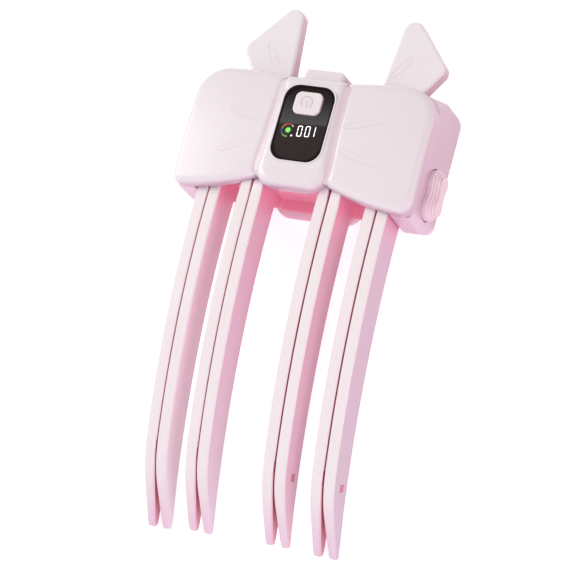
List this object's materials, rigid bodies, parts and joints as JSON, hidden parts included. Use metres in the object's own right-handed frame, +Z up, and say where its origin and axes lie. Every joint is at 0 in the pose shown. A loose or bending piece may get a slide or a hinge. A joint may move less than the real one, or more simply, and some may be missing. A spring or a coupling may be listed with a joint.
{
  "type": "heated root volumizing clip",
  "caption": "Bow-shaped cordless heated hair clip with curved tine pairs, a digit display, a power button and spring-loaded grip pads on its sides.",
  "frame": {"origin": "centre of the flat back of the rear knot bulge, on the surface that the clip rests on", "axes": "+X to the clip's right as seen on its display side, +Y from the tines towards the ribbon tails, +Z up, out of the display side"},
  "size_m": [0.0924, 0.1783, 0.0329],
  "materials": {
    "pink_shell": "satin moulded ABS, pale pink",
    "pink_tine": "satin heat-resistant plastic, pale pink",
    "pink_button": "satin moulded ABS, pale pink",
    "inner_plastic": "matt moulded nylon, deep pink",
    "soft_pink": "matt soft-touch rubber, pink",
    "dark_window": "polished smoked acrylic",
    "display": "black display with light segments",
    "board": "green solder mask on glass laminate",
    "black_plastic": "black plastic",
    "cell_wrap": "blue shrink wrap",
    "port_steel": "nickel-plated steel",
    "steel": "bright steel",
    "heater_plate": "anodised aluminium, satin"
  },
  "bodies": {
    "housing": {"front_cover": "pink_shell", "rear_housing": "pink_shell", "housing_screws": "steel", "carrier_screws": "steel", "tine_carrier": "inner_plastic", "guide_rods": "steel", "display_lens": "dark_window", "display_module": "display", "main_board": "board", "board_screws": "steel", "tact_switch": "black_plastic", "battery_cell": "cell_wrap", "battery_tray": "inner_plastic", "charge_port": "port_steel", "left_ribbon_tail": "pink_shell", "right_ribbon_tail": "pink_shell", "left_return_spring": "steel", "right_return_spring": "steel", "heated_tine_1": "pink_tine", "heater_plate_1": "heater_plate", "heated_tine_2": "pink_tine", "heater_plate_2": "heater_plate", "heated_tine_3": "pink_tine", "heater_plate_3": "heater_plate", "heated_tine_4": "pink_tine", "heater_plate_4": "heater_plate"},
    "button": {"power_button": "pink_button"},
    "left_clamp": {"left_slider": "inner_plastic", "left_grip_pad": "soft_pink", "moving_tine_1": "pink_tine", "moving_tine_2": "pink_tine"},
    "right_clamp": {"right_slider": "inner_plastic", "right_grip_pad": "soft_pink", "moving_tine_3": "pink_tine", "moving_tine_4": "pink_tine"}
  },
  "joints": [
    {"name": "power_button_press", "type": "slide", "parent": "housing", "child": "button", "axis": [0, -0.072, -0.9974], "range_m": [0, 0.0005], "stiffness_N_per_m": 800},
    {"name": "left_clamp_slide", "type": "slide", "parent": "housing", "child": "left_clamp", "axis": [1, 0, 0], "range_m": [0, 0.0032], "stiffness_N_per_m": 700, "deforming": ["left_return_spring"]},
    {"name": "right_clamp_slide", "type": "slide", "parent": "housing", "child": "right_clamp", "axis": [-1, 0, 0], "range_m": [0, 0.0032], "stiffness_N_per_m": 700, "deforming": ["right_return_spring"]}
  ]
}
